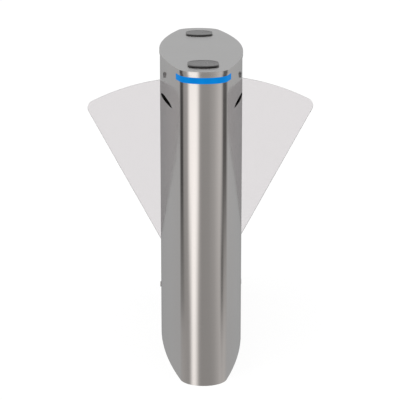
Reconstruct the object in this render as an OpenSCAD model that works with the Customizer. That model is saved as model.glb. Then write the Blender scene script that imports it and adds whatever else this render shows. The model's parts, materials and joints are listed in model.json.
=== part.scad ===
// Flap barrier for a walkway: a slim stainless cabinet with a flap at each side.
// Millimetres, +Z up. The origin is on the floor, in the middle of the cabinet.
// +Y runs along the cabinet, and the flaps stand out to -X (left) and +X (right).
// The right half is the left half turned half round about Z.

/* [Cabinet] */
// Length of the cabinet
cabinet_length = 1200; // [1100:10:1500]
// Width of the cabinet at its middle
cabinet_width = 280; // [270:2:320]
// Height to the top of the lid
cabinet_height = 1000; // [980:5:1100]
// Radius of the round ends in plan
nose_radius = 76; // [66:1:86]
// Sheet thickness of the cabinet
sheet = 2; // [1.5:0.25:3]
// Width of the folded rim at the top
rim_width = 14; // [10:1:16]
// Width of the flange that is bolted to the base plate
flange_width = 24; // [20:1:30]
// Thickness of that flange
flange_thickness = 3; // [2:0.5:5]

/* [Base] */
// Thickness of the base plate
base_thickness = 8; // [6:1:15]
// Distance of the floor anchors from the cabinet's sides
anchor_side_inset = 80; // [70:5:95]
// Distance of the floor anchors from the cabinet's ends
anchor_end_inset = 220; // [200:5:250]
// Diameter of the floor anchor holes
anchor_hole = 14; // [10:1:18]
// Distance of each cable entry from the cabinet's end
cable_entry_inset = 130; // [110:5:140]
// Clear diameter of a cable entry
cable_entry = 36; // [20:1:40]

/* [Lid] */
// Sheet thickness of the lid
lid_sheet = 1.5; // [1:0.25:2.5]
// Height of the lid's edge
lid_edge = 11; // [8:1:14]
// Gap between the lid's edge and the cabinet
lid_gap = 0.5; // [0.3:0.1:1]

/* [Readers] */
// Width of a reader pad
reader_width = 98; // [80:1:110]
// Length of a reader pad
reader_length = 150; // [120:2:160]
// Height of a reader pad above the lid
reader_height = 6.5; // [4:0.5:12]
// Corner radius of a reader pad
reader_corner = 47; // [20:1:50]
// Radius of a reader pad's upper edge
reader_edge = 3; // [1:0.25:3]
// How far a reader pad's foot is set in under its rim
reader_undercut = 3.5; // [1:0.5:5]
// Distance of the front reader from the cabinet's front end
front_reader_inset = 155; // [140:5:240]
// Distance of the rear reader from the cabinet's rear end
rear_reader_inset = 208; // [140:2:240]

/* [Light bands] */
// Height of a light band
light_height = 19; // [12:1:26]
// Distance from the top of the lid down to the light
light_drop = 18; // [15:1:30]
// How far a band runs back from the cabinet's end
light_reach = 108; // [80:4:120]

/* [Sensor windows] */
// Length of a sensor window
window_length = 275; // [180:5:280]
// Height of a sensor window
window_height = 14; // [8:1:20]
// Distance of a window's middle from the cabinet's end
window_inset = 310; // [290:5:330]
// Distance from the top of the lid down to a window's middle
window_drop = 130; // [120:2:200]

/* [Flaps] */
// Distance from the top of the lid down to the highest reach of a flap
flap_headroom = 99; // [97:1:175]
// Thickness of a flap
flap_thickness = 10; // [8:1:12]
// Angle of the outer edge from upright when closed
flap_outer_angle = 28.5; // [25:0.5:30]
// Swing from closed to open
flap_swing = 20; // [15:0.5:20]
// Radius of the outer corner of a flap
flap_corner = 25; // [15:1:35]
// Distance of each flap from the cabinet's middle plane
flap_offset = 20; // [18:1:22]
// Clear space at each face of a flap in its slot
slot_clearance = 4; // [2:0.5:5]
// Distance of each pivot from the middle
pivot_x = 27; // [26:1:29]
// Height of the pivots
pivot_z = 125; // [120:1:130]

/* [Drive] */
// Diameter of the flap shafts
shaft_diameter = 25; // [20:1:26]
// Module of the gear teeth
gear_module = 2; // [1.5:0.25:2.25]
// Teeth that a full gear would have
gear_teeth = 90; // [80:2:90]
// Teeth of the pinion
pinion_teeth = 18; // [18:2:22]
// Face width of the gears
gear_width = 12; // [8:1:14]
// Thinning of each tooth flank
flank_relief = 0.14; // [0.1:0.02:0.2]
// Diameter of the motor
motor_diameter = 52; // [40:2:60]
// Length of the motor
motor_length = 90; // [60:5:100]

/* [Hatches] */
// Width of a service hatch
hatch_width = 200; // [160:5:220]
// Height of a hatch's lower edge
hatch_bottom = 50; // [40:2:60]
// Height of a hatch's upper edge
hatch_top = 190; // [186:2:194]
// Gap round a hatch
hatch_gap = 1.2; // [1:0.1:2]
// Distance of a hatch's lock from the cabinet's middle
hatch_lock_y = 14; // [0:1:30]
// Height of a hatch's lock
hatch_lock_z = 166; // [160:1:168]

/* [Locks] */
// Diameter of a lock's head
lock_head = 19; // [16:1:22]
// How far a lock's head stands out
lock_proud = 3.4; // [2:0.2:5]
// Depth of a lock behind the sheet's outer face
lock_depth = 20; // [18:1:22]
// Reach of a lock's cam
cam_reach = 30; // [28:1:32]
// Distance of the lid locks from the cabinet's ends
lid_lock_inset = 310; // [290:5:330]
// Distance from the top of the lid down to a lid lock
lid_lock_drop = 52; // [48:1:55]

/* [Hidden] */
$fn = 64;

// small fits
seat_gap = 0.3;
slip_gap = 0.1;
running_gap = 0.05;

// plan of the cabinet: two long side arcs that run into round noses
half_width = cabinet_width / 2;
half_length = cabinet_length / 2;
nose_y = half_length - nose_radius;
side_radius = (pow(half_width, 2) + pow(nose_y, 2) - pow(nose_radius, 2))
    / (2 * (half_width - nose_radius));
side_centre = side_radius - half_width;
blend_angle = atan2(nose_y, side_centre);
side_fn = 2880;
nose_fn = 180;
arch_steps = 24;

// outer wall at a distance along the cabinet
function wall_x(y) = sqrt(pow(side_radius, 2) - pow(y, 2)) - side_centre;
function wall_turn(y) = asin(y / side_radius);
// how far a side wall falls back at a distance along it
function wall_sag(along) = side_radius - sqrt(pow(side_radius, 2) - pow(along, 2));

// heights
lid_under = cabinet_height - lid_sheet;
shell_top = lid_under - seat_gap;
light_top = cabinet_height - light_drop;
light_bottom = light_top - light_height;
window_z = cabinet_height - window_drop;
lid_lock_z = cabinet_height - lid_lock_drop;
deck = base_thickness;

// places along the cabinet
anchor_x = half_width - anchor_side_inset;
anchor_y = half_length - anchor_end_inset;
cable_entry_y = half_length - cable_entry_inset;
pad_corner = min(reader_corner, reader_width / 2 - 1);
pad_edge = min(reader_edge, reader_height / 2 - 0.2);
front_reader_y = front_reader_inset - half_length;
rear_reader_y = half_length - rear_reader_inset;
light_end_y = half_length - light_reach;
window_y = half_length - window_inset;
lid_lock_y = half_length - lid_lock_inset;
flange_bolt_y = [half_length - 370, half_length - 150];
battery_y = half_length - 330;

// fasteners
bolt_r = 4;
head_r = 7.5;
head_height = 5;

// flaps
flap_radius = cabinet_height - flap_headroom - pivot_z;
wall_reach = half_width - pivot_x;
slot_width = flap_thickness + 2 * slot_clearance;
inner_angle = 8;
flap_half_angle = (flap_outer_angle - inner_angle) / 2;
flap_lean = flap_outer_angle - flap_half_angle;
flap_face = flap_offset - flap_thickness / 2;
arm_thickness = 8;
clamp_thickness = 6;
arm_inner = flap_face - arm_thickness;
clamp_outer = flap_face + flap_thickness + clamp_thickness;
arm_half = 30;
clamp_reach = (wall_reach - sheet - 14) * cos(flap_half_angle) / sin(flap_outer_angle);
panel_start = clamp_reach - 88;
bolt_radii = [clamp_reach - 60, clamp_reach - 20];
bolt_spread = 5;
hub_r = 25;
hub_back = 47;
shaft_r = shaft_diameter / 2;
slot_bottom = pivot_z + (wall_reach - sheet) / tan(flap_outer_angle) - 8;
slot_top = pivot_z + sqrt(pow(flap_radius, 2) - pow(wall_reach, 2)) + 12;

// core that carries the shafts
core_half = half_width - 22;
core_face = 63;
core_thickness = 6;
core_back = core_face + core_thickness;
core_top = pivot_z + 165;
core_foot = 50;
foot_half = wall_x(core_back + core_foot) - sheet - flange_width - 1;
core_bolt_x = foot_half - 25;
foot_step = deck + flange_thickness + 2;
bearing_r = 25;
bearing_flange = 10;
spigot_r = bearing_r - 5;
tie_r = 8;
tie_x = core_half - 14;
tie_heights = [40, pivot_z + 15];
sleeve_r = 8;
stop_pin_r = 4;
stop_side = arm_half + sleeve_r + seat_gap + slip_gap;
stop_share = 0.62;
stop_radius = stop_share * clamp_reach;

// gears
gear_r = gear_module * gear_teeth / 2;
pinion_r = gear_module * pinion_teeth / 2;
pinion_z = pivot_z + gear_r + pinion_r;
pressure_angle = 20;
tooth_top = gear_module;
tooth_root = 1.25 * gear_module;
gear_near = core_back + bearing_flange + 4;
gear_far = gear_near + gear_width;
gear_hub_r = 22;
bracket_near = gear_far + 15;
bracket_thickness = 6;
bracket_far = bracket_near + bracket_thickness;
bracket_half = 69;
bracket_low = pivot_z + 40;
gearbox_r = 28;
gearbox_length = 50;
gearbox_far = bracket_far + gearbox_length;
output_r = 5;
sensor_r = 6;
sensor_radius = 60;
sensor_angle = 25;
sensor_spot = [-pivot_x - sensor_radius * sin(sensor_angle),
    pivot_z + sensor_radius * cos(sensor_angle)];

// racks for the electrical parts
rack_angle = 25;
rack_sheet = 2.5;
rack_near = 125;
rack_far = rack_near + rack_angle;
rack_half = wall_x(rack_far) - sheet - flange_width - 2;
rack_top = cabinet_height - 120;
rack_plate_low = pinion_z + 187;
rack_plate_high = rack_top - 90;
rack_hole_pitch = 25;
rack_hole_edge = 20;
rack_face = rack_far + rack_sheet;

// electrical parts
board_half = rack_half - 32;
board_height = 180;
board_low = (rack_plate_low + rack_plate_high - board_height) / 2;
board_high = board_low + board_height;
board_sheet = 1.6;
standoff = 10;
supply_half = 50;
supply_depth = 42;
supply_low = rack_plate_low + 140;
supply_height = 190;
terminal_half = rack_half - 27;
terminal_pitch = 14;
terminal_count = floor((2 * terminal_half - 20) / terminal_pitch);
terminal_low = rack_plate_low + 60;
terminal_height = 35;
battery_half = 70;
battery_depth = 65;
battery_height = 95;

// locks
barrel_r = 6;
lock_body_r = 8;
cam_thickness = 2;
cam_half = 6;
cam_back = lock_depth + 0.5;
nut_r = 12;
nut_thickness = 4;
catch_near = 14;
catch_width = 12;
catch_depth = 34;

// hatch, on the left side
hatch_front = -hatch_lock_y - hatch_width / 2;
hatch_back = -hatch_lock_y + hatch_width / 2;
hatch_fold = 14;
shelf_depth = lock_depth - sheet - 1;
far = 2000;

// Shared shapes

module strip(y0, y1) {
    polygon([[-cabinet_width, y0], [cabinet_width, y0], [cabinet_width, y1], [-cabinet_width, y1]]);
}

// cabinet outline, set in by a distance
module plan(inset) {
    blend_y = nose_y + (nose_radius - inset) * sin(blend_angle);
    intersection() {
        translate([-side_centre, 0]) circle(side_radius - inset, $fn = side_fn);
        translate([side_centre, 0]) circle(side_radius - inset, $fn = side_fn);
        strip(-blend_y, blend_y);
    }
    for (side = [-1, 1])
        intersection() {
            translate([0, side * nose_y]) circle(nose_radius - inset, $fn = nose_fn);
            strip(side * blend_y, side * cabinet_length);
        }
}

module plan_ring(outer, inner) {
    difference() {
        plan(outer);
        plan(inner);
    }
}

module lift(z0, z1) {
    translate([0, 0, z0]) linear_extrude(z1 - z0) children();
}

// a box between two corners
module block(low, high) {
    translate(low) cube(high - low);
}

// a flat shape drawn in X and Z, from y0 to y1
module slab_y(y0, y1) {
    translate([0, y1, 0]) rotate([90, 0, 0]) linear_extrude(y1 - y0) children();
}

// a flat shape drawn in Y and Z, from x0 to x1
module slab_x(x0, x1) {
    translate([x0, 0, 0]) rotate([90, 0, 90]) linear_extrude(x1 - x0) children();
}

module rod_x(r, x0, x1) {
    translate([x0, 0, 0]) rotate([0, 90, 0]) cylinder(r = r, h = x1 - x0);
}

module rod_y(r, y0, y1) {
    translate([0, y1, 0]) rotate([90, 0, 0]) cylinder(r = r, h = y1 - y0);
}

module both_ends() {
    for (turn = [0, 180]) rotate([0, 0, turn]) children();
}

module right_half() {
    rotate([0, 0, 180]) children();
}

// local frame on the right wall: +X points out, the origin lies on the outer face
module on_right_wall(y) {
    translate([wall_x(y), y, 0]) rotate([0, 0, wall_turn(y)]) children();
}

module on_left_wall(y) {
    rotate([0, 0, 180]) on_right_wall(-y) children();
}

module rounded(w, l, r) {
    union() {
        square([w - 2 * r, l], center = true);
        square([w, l - 2 * r], center = true);
        for (x = [-1, 1], y = [-1, 1])
            translate([x * (w / 2 - r), y * (l / 2 - r)]) circle(r);
    }
}

// slice of a disc between two angles, measured from upright towards -X
module pie(r, a0, a1) {
    intersection() {
        circle(r, $fn = side_fn);
        polygon([[0, 0], 2 * r * [-sin(a0), cos(a0)], 2 * r * [-sin(a1), cos(a1)]]);
    }
}

// Cabinet

// low arch of a sensor window on its flat foot, drawn in by a margin
module window_arch(margin) {
    reach = window_length / 2 - margin;
    rise = window_height - margin;
    start = asin(max(margin, 0) / rise);
    foot = [[-reach, margin - window_height / 2], [reach, margin - window_height / 2]];
    crown = [
        for (k = [0 : arch_steps])
            let (turn = start + (180 - 2 * start) * k / arch_steps)
            [reach * cos(turn), rise * sin(turn) - window_height / 2]
    ];
    polygon(margin < 0 ? concat(crown, foot) : crown);
}

// band of the outline past light_end_y at one nose
module nose_part(outer, inner, from_y) {
    intersection() {
        plan_ring(outer, inner);
        strip(-cabinet_length, -from_y);
    }
}

module flap_slot() {
    block([-half_width - 9, -flap_offset - slot_width / 2, slot_bottom],
        [-half_width + 30, -flap_offset + slot_width / 2, slot_top]);
}

module window_cut(extra) {
    for (end = [-1, 1])
        translate([0, end * window_y, window_z])
            slab_x(0, far) window_arch(-extra);
}

module hatch_region(margin, low, high) {
    block([low, hatch_front + margin, hatch_bottom + margin],
        [high, hatch_back - margin, hatch_top - margin]);
}

module flange_bolt_places() {
    for (y = flange_bolt_y, side = [-1, 1], end = [-1, 1])
        translate([side * (wall_x(y) - sheet - flange_width / 2), end * y, 0]) children();
}

module cabinet_shell() {
    color("silver") difference() {
        union() {
            lift(0, shell_top) plan_ring(0, sheet);
            lift(deck, deck + flange_thickness) plan_ring(sheet / 2, sheet + flange_width);
            lift(shell_top - sheet, shell_top) plan_ring(sheet / 2, rim_width);
            both_ends() intersection() {
                lift(hatch_top, hatch_top + sheet) plan(sheet / 2);
                block([-half_width, hatch_front, hatch_top],
                    [-half_width + sheet + shelf_depth, hatch_back, hatch_top + sheet]);
            }
        }
        both_ends() {
            flap_slot();
            window_cut(0);
            lift(light_bottom, light_top) nose_part(-9, sheet + 9, light_end_y);
            hatch_region(0, -half_width - 9, -half_width + hatch_fold + 3);
            for (y = [-lid_lock_y, lid_lock_y])
                on_right_wall(y) translate([0, 0, lid_lock_z])
                    rod_x(lock_body_r + slip_gap, -sheet - 3, 3);
        }
        flange_bolt_places() cylinder(r = bolt_r + slip_gap, h = 99);
    }
}

module base_plate() {
    color("dimgray") difference() {
        lift(0, deck) plan(sheet + slip_gap);
        for (x = [-1, 1], y = [-1, 1])
            translate([x * anchor_x, y * anchor_y, -1])
                cylinder(d = anchor_hole, h = deck + 2);
        both_ends() translate([0, -cable_entry_y, -1])
            cylinder(r = cable_entry / 2 + 5, h = deck + 2);
        flange_bolt_places() translate([0, 0, -1])
            cylinder(r = bolt_r + running_gap, h = deck + 2);
        core_bolt_places() translate([0, 0, -1])
            cylinder(r = bolt_r + running_gap, h = deck + 2);
    }
}

module core_bolt_places() {
    both_ends() for (side = [-1 : 1])
        translate([side * core_bolt_x, -core_back - core_foot / 2, 0]) children();
}

module hex_bolt(top) {
    translate([0, 0, 2]) cylinder(r = bolt_r, h = top - 2);
    translate([0, 0, top]) cylinder(r = head_r, h = head_height, $fn = 6);
}

module floor_bolts() {
    color("gainsboro") {
        flange_bolt_places() hex_bolt(deck + flange_thickness);
        core_bolt_places() hex_bolt(deck + core_thickness);
    }
}

module cable_grommets() {
    color("black") both_ends() translate([0, -cable_entry_y, 0]) difference() {
        union() {
            translate([0, 0, 0.5]) cylinder(r = cable_entry / 2 + 5 - slip_gap, h = deck);
            translate([0, 0, deck]) cylinder(r = cable_entry / 2 + 9, h = 4);
        }
        translate([0, 0, -1]) cylinder(r = cable_entry / 2, h = deck + 9);
    }
}

// Core: two upright plates that carry the flap shafts, held apart by tie bars

// places of the two stops of one flap, seen from the front
function stop_place(lean, side) = [
    -pivot_x + side * stop_side * cos(lean) - stop_radius * sin(lean),
    pivot_z + side * stop_side * sin(lean) + stop_radius * cos(lean)
];
stop_places = [stop_place(flap_lean, -1), stop_place(flap_lean - flap_swing, 1)];

module core_plate() {
    corner = 22;
    difference() {
        union() {
            slab_y(-core_back, -core_face) difference() {
                polygon([[-foot_half, deck], [foot_half, deck], [foot_half, foot_step],
                    [core_half, foot_step], [core_half, core_top - corner],
                    [core_half - corner, core_top], [-core_half + corner, core_top],
                    [-core_half, core_top - corner], [-core_half, foot_step],
                    [-foot_half, foot_step]]);
                for (x = [-pivot_x, pivot_x])
                    translate([x, pivot_z]) circle(spigot_r + slip_gap);
                translate([0, pivot_z - 70]) rounded(80, 40, 12);
                translate([core_half - 43, pivot_z + 80]) rounded(36, 60, 12);
            }
            block([-foot_half, -core_back - core_foot, deck],
                [foot_half, -core_face, deck + core_thickness]);
            for (spot = stop_places)
                translate([spot[0], 0, spot[1]]) rod_y(stop_pin_r, -core_face - 1, -arm_inner - 1);
        }
        core_bolt_places() cylinder(r = bolt_r + slip_gap, h = deck + core_thickness + 1);
    }
}

module front_core_plate() { color("slategray") core_plate(); }
module rear_core_plate() { color("slategray") right_half() core_plate(); }

module core_tie_bars() {
    color("gray") for (side = [-1, 1], z = tie_heights)
        translate([side * tie_x, 0, z]) rod_y(tie_r, -core_face, core_face);
}

module stop_sleeves() {
    color("black") both_ends() for (spot = stop_places)
        translate([spot[0], 0, spot[1]]) difference() {
            rod_y(sleeve_r, -core_face + slip_gap, -arm_inner - 1);
            rod_y(stop_pin_r + slip_gap, -core_face - 9, 0);
        }
}

// Bearings, drive bracket, gearbox and motor of the left flap

module shaft_bearings() {
    translate([-pivot_x, 0, pivot_z]) for (end = [0, 1]) mirror([0, end, 0]) difference() {
        union() {
            rod_y(bearing_r, core_back, core_back + bearing_flange);
            rod_y(spigot_r, core_face - 2, core_back + 1);
        }
        rod_y(shaft_r + running_gap, 0, far);
    }
}

module left_shaft_bearings() { color("lightsteelblue") shaft_bearings(); }
module right_shaft_bearings() { color("lightsteelblue") right_half() shaft_bearings(); }

module drive_bracket() {
    top = pinion_z + 57;
    post_r = 7;
    difference() {
        union() {
            slab_y(-bracket_far, -bracket_near)
                translate([-pivot_x, (bracket_low + top) / 2])
                    rounded(2 * bracket_half, top - bracket_low, 10);
            for (spot = [[-60, 65], [60, 65], [-50, 150], [50, 150]])
                translate([-pivot_x + spot[0], 0, pivot_z + spot[1]])
                    rod_y(post_r, -bracket_near - 1, -core_back);
        }
        translate([-pivot_x, 0, pinion_z]) rod_y(16, -bracket_far - 1, -bracket_near + 1);
        translate([sensor_spot[0], 0, sensor_spot[1]])
            rod_y(sensor_r + slip_gap, -bracket_far - 1, -bracket_near + 1);
    }
}

module left_drive_bracket() { color("slategray") drive_bracket(); }
module right_drive_bracket() { color("slategray") right_half() drive_bracket(); }

module gearbox() {
    flange = 62;
    translate([-pivot_x, 0, pinion_z]) difference() {
        union() {
            rod_y(gearbox_r, -gearbox_far, -bracket_far);
            slab_y(-bracket_far - 6, -bracket_far) rounded(flange, flange, 8);
            rod_y(15.8, -bracket_far - 1, -bracket_near + 2);
            for (groove = [1 : 3])
                rod_y(gearbox_r + 1.5, -gearbox_far + 12 * groove, -gearbox_far + 12 * groove + 4);
        }
        rod_y(output_r + running_gap, -gearbox_far + 10, 0);
    }
}

module left_gearbox() { color("lightgray") gearbox(); }
module right_gearbox() { color("lightgray") right_half() gearbox(); }

module motor() {
    motor_r = motor_diameter / 2;
    translate([-pivot_x, 0, pinion_z]) {
        rod_y(motor_r, -gearbox_far - motor_length, -gearbox_far);
        rod_y(motor_r - 4, -gearbox_far - motor_length - 8, -gearbox_far - motor_length + 1);
        translate([0, -gearbox_far - motor_length + 22, motor_r])
            cube([26, 34, 16], center = true);
        for (rib = [1 : 5])
            rod_y(motor_r + 1.5, -gearbox_far - 10 * rib - 4, -gearbox_far - 10 * rib);
    }
}

module left_motor() { color("darkslategray") motor(); }
module right_motor() { color("darkslategray") right_half() motor(); }

module position_sensors() {
    color("orange") both_ends() translate([sensor_spot[0], 0, sensor_spot[1]]) {
        rod_y(sensor_r, -bracket_far - 24, -gear_far - 2);
        for (y = [-bracket_far - 5, -bracket_near])
            slab_y(y, y + 5) circle(10, $fn = 6);
    }
}

// Moving pieces of the left flap

module flap_frame() {
    translate([-pivot_x, pivot_z]) rotate(flap_lean) children();
}

module flap_bolt_places() {
    for (r = bolt_radii, a = [-bolt_spread, bolt_spread])
        translate([-r * sin(a), r * cos(a)]) children();
}

// clear sheet with one large round corner, drawn upright about its pivot
module flap_outline() {
    turn = asin(flap_corner / (flap_radius - flap_corner));
    corner_angle = flap_half_angle - turn;
    corner = (flap_radius - flap_corner) * [-sin(corner_angle), cos(corner_angle)];
    edge = (flap_radius - flap_corner) * cos(turn)
        * [-sin(flap_half_angle), cos(flap_half_angle)];
    pie(flap_radius, -flap_half_angle, corner_angle + 0.01);
    polygon([[0, 0], [0, flap_radius / 2], corner, edge]);
    translate(corner) circle(flap_corner, $fn = nose_fn);
}

module flap_panel() {
    slab_y(-flap_face - flap_thickness, -flap_face) flap_frame() difference() {
        flap_outline();
        translate([-far / 2, -far + panel_start]) square(far);
        flap_bolt_places() circle(bolt_r + slip_gap);
    }
}

module left_flap_panel() { color("whitesmoke") flap_panel(); }
module right_flap_panel() { color("whitesmoke") right_half() flap_panel(); }

module flap_arm() {
    difference() {
        union() {
            slab_y(-flap_face, -arm_inner) flap_frame() difference() {
                union() {
                    circle(arm_half);
                    translate([-arm_half, 0]) square([2 * arm_half, clamp_reach]);
                }
                flap_bolt_places() circle(bolt_r + slip_gap);
                translate([0, clamp_reach - 120]) rounded(24, 50, 10);
            }
            translate([-pivot_x, 0, pivot_z]) rod_y(hub_r, -hub_back, -arm_inner);
        }
        translate([-pivot_x, 0, pivot_z]) rod_y(shaft_r + running_gap, -far / 2, far / 2);
    }
}

module left_flap_arm() { color("lightsteelblue") flap_arm(); }
module right_flap_arm() { color("lightsteelblue") right_half() flap_arm(); }

module clamp_plate() {
    low = panel_start + 8;
    slab_y(-clamp_outer, -clamp_outer + clamp_thickness) flap_frame() difference() {
        polygon([[-low * tan(flap_half_angle), low], [low * tan(flap_half_angle), low],
            [clamp_reach * tan(flap_half_angle), clamp_reach],
            [-clamp_reach * tan(flap_half_angle), clamp_reach]]);
        flap_bolt_places() circle(bolt_r + slip_gap);
    }
}

module left_clamp_plate() { color("lightsteelblue") clamp_plate(); }
module right_clamp_plate() { color("lightsteelblue") right_half() clamp_plate(); }

module flap_bolts() {
    slab_y(-clamp_outer, -arm_inner) flap_frame() flap_bolt_places() circle(bolt_r);
    for (y = [-arm_inner, -clamp_outer - head_height])
        slab_y(y, y + head_height) flap_frame() flap_bolt_places() circle(head_r, $fn = 6);
}

module left_flap_bolts() { color("gainsboro") flap_bolts(); }
module right_flap_bolts() { color("gainsboro") right_half() flap_bolts(); }

module flap_shaft() {
    translate([-pivot_x, 0, pivot_z]) {
        rod_y(shaft_r, -gear_far - 2, core_back + bearing_flange - 2);
        rod_y(shaft_r + 5, -core_face + 2.5, -hub_back - slip_gap);
    }
}

module left_flap_shaft() { color("gray") flap_shaft(); }
module right_flap_shaft() { color("gray") right_half() flap_shaft(); }

// Gears with involute teeth. Angles run from upright towards -X.

function involute(a) = tan(a) * 180 / PI - a;
function polar(r, a) = [-r * sin(a), r * cos(a)];
// half of a tooth's angle at radius r, on a gear of n teeth
function half_tooth(n, r) = 90 / n - flank_relief / (gear_module * n / 2) * 180 / PI
    + involute(pressure_angle)
    - involute(acos(min(1, gear_module * n * cos(pressure_angle) / 2 / r)));
// outline of one tooth that points to angle c, from root to root
function tooth(n, c) =
    let (pitch_r = gear_module * n / 2,
        root_r = pitch_r - tooth_root,
        tip_r = pitch_r + tooth_top,
        start_r = max(root_r + 0.01, pitch_r * cos(pressure_angle)),
        steps = 6,
        radii = [for (i = [0 : steps]) start_r + (tip_r - start_r) * i / steps])
    concat([polar(root_r, c - half_tooth(n, start_r))],
        [for (r = radii) polar(r, c - half_tooth(n, r))],
        [for (i = [steps : -1 : 0]) polar(radii[i], c + half_tooth(n, radii[i]))],
        [polar(root_r, c + half_tooth(n, start_r))]);

module sector_gear() {
    pitch = 360 / gear_teeth;
    low_tooth = -3;
    high_tooth = low_tooth + ceil((flap_swing + 6 * pitch) / pitch);
    slab_y(-gear_far, -gear_near) translate([-pivot_x, pivot_z]) difference() {
        union() {
            circle(gear_hub_r);
            polygon(concat([[0, 0]], [for (k = [low_tooth : high_tooth])
                each tooth(gear_teeth, k * pitch)]));
        }
        circle(shaft_r + running_gap);
        intersection() {
            difference() {
                circle(gear_r - tooth_root - 9);
                circle(gear_hub_r + 7);
            }
            for (a = [-5, 10])
                polygon([[0, 0], polar(2 * gear_r, a - 4.5 + 3), polar(2 * gear_r, a + 4.5 + 3)]);
        }
    }
}

module left_sector_gear() { color("goldenrod") sector_gear(); }
module right_sector_gear() { color("goldenrod") right_half() sector_gear(); }

module pinion() {
    pitch = 360 / pinion_teeth;
    translate([-pivot_x, 0, pinion_z]) {
        slab_y(-gear_far - 1, -gear_near + 1)
            polygon([for (k = [0 : pinion_teeth - 1])
                each tooth(pinion_teeth, 180 + (k + 0.5) * pitch)]);
        rod_y(output_r, -gearbox_far + 14, -gear_near + 1);
        rod_y(pinion_r - tooth_root, -gear_far - 6, -gear_far);
    }
}

module left_pinion() { color("gold") pinion(); }
module right_pinion() { color("gold") right_half() pinion(); }

// Racks and electrical parts

module rack() {
    difference() {
        union() {
            for (side = [0, 1]) mirror([side, 0, 0]) {
                block([rack_half - rack_angle, -rack_far, deck],
                    [rack_half, -rack_far + rack_sheet, rack_top]);
                block([rack_half - rack_sheet, -rack_far, deck], [rack_half, -rack_near, rack_top]);
                block([rack_half - rack_angle, -rack_far, deck], [rack_half, -rack_near, deck + 4]);
            }
            block([-rack_half, -rack_far - rack_sheet, rack_plate_low],
                [rack_half, -rack_far, rack_plate_high]);
        }
        for (k = [-2 : 2], z = [rack_plate_low + rack_hole_edge, rack_plate_high - rack_hole_edge])
            translate([k * rack_hole_pitch, 0, z]) rod_y(bolt_r, -rack_far - 9, -rack_near);
    }
}

module front_rack() { color("lightgray") rack(); }
module rear_rack() { color("lightgray") right_half() rack(); }

// one row of equal blocks on the face of the control board
module board_row(count, pitch, width, rise, z, height) {
    for (k = [0 : count - 1])
        translate([(k - (count - 1) / 2) * pitch - width / 2, -rise, z]) cube([width, rise, height]);
}

module control_board() {
    post_x = board_half - 9;
    color("seagreen") {
        for (x = [-post_x, post_x], z = [board_low + 9, board_high - 9])
            translate([x, 0, z]) rod_y(bolt_r, -rack_face - standoff - 1, -rack_face);
        translate([0, -rack_face - standoff, 0]) {
            block([-board_half, -board_sheet, board_low], [board_half, 0, board_high]);
            translate([0, -board_sheet + 0.2, 0]) {
                board_row(4, 0.4 * board_half, 22, 16, board_low + 25, 20);
                board_row(6, 0.3 * board_half, 18, 10, board_high - 18, 14);
                board_row(1, 0, 40, 3, board_low + 75, 40);
                for (k = [0 : 2])
                    translate([0.6 * board_half, 0, board_low + 70 + 24 * k]) rod_y(8, -22, 0);
            }
        }
    }
}

module power_supply() {
    slits = 12;
    color("lightgray") difference() {
        block([-supply_half, rack_face, supply_low],
            [supply_half, rack_face + supply_depth, supply_low + supply_height]);
        for (k = [0 : slits - 1])
            translate([-supply_half + 10, rack_face + supply_depth - 4, supply_low + 30 + 11 * k])
                cube([2 * supply_half - 20, 9, 5]);
        block([-supply_half + 6, rack_face + supply_depth / 2, supply_low - 1],
            [supply_half - 6, rack_face + supply_depth + 9, supply_low + 14]);
    }
}

module terminal_block() {
    way = terminal_pitch - 1.5;
    color("beige") {
        translate([-terminal_half, rack_face, terminal_low])
            cube([2 * terminal_half, 7, terminal_height]);
        for (k = [0 : terminal_count - 1])
            translate([(k - terminal_count / 2) * terminal_pitch, rack_face + 6, terminal_low - 6])
                difference() {
                    cube([way, 40, terminal_height + 12]);
                    for (z = [-1, terminal_height])
                        translate([way / 2, 24, z]) cylinder(r = 2.5, h = 20);
                }
    }
}

module backup_battery() {
    middle = battery_depth / 2;
    color("dimgray") translate([0, battery_y, deck]) {
        block([-battery_half, 0, 0], [battery_half, battery_depth, battery_height]);
        for (side = [-1, 1]) {
            translate([side * (battery_half - 20), middle, battery_height - 1])
                cylinder(r = 6, h = 8);
            block([side * battery_half - 2, middle - 12, 0], [side * battery_half + 2, middle + 12, 60]);
        }
    }
}

// Light bands, sensor windows and slot guides

module light_band() {
    face = 0.2;
    lip = 5;
    lift(light_bottom + slip_gap, light_top - slip_gap)
        nose_part(face, sheet + 4, light_end_y + slip_gap);
    lift(light_bottom - lip, light_top + lip)
        nose_part(sheet + slip_gap, sheet + 4, light_end_y - lip);
}

module front_light_band() { color("dodgerblue") light_band(); }
module rear_light_band() { color("dodgerblue") right_half() light_band(); }

module light_boards() {
    color("seagreen") both_ends() lift(light_bottom, light_top)
        nose_part(sheet + 4 + slip_gap, sheet + 5.7, light_end_y);
}

module sensor_windows() {
    color("black") both_ends() {
        intersection() {
            lift(window_z - 60, window_z + 60) plan_ring(0.3, sheet + 1.5);
            for (end = [-1, 1]) translate([0, end * window_y, window_z]) slab_x(0, far)
                window_arch(slip_gap);
        }
        intersection() {
            lift(window_z - 60, window_z + 60) plan_ring(sheet + slip_gap, sheet + 3);
            window_cut(5);
        }
    }
}

module sensor_boards() {
    board_height = 16;
    color("seagreen") both_ends() for (y = [-window_y, window_y])
        on_right_wall(y) translate([-sheet - 3 - seat_gap - 6, 0, window_z]) {
            block([-1.6, -window_length / 2 + 20, -board_height / 2],
                [0, window_length / 2 - 20, board_height / 2]);
            for (k = [-3 : 3]) translate([0, 30 * k, 0]) rod_x(3, -1, 6 - wall_sag(30 * k));
        }
}

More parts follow.
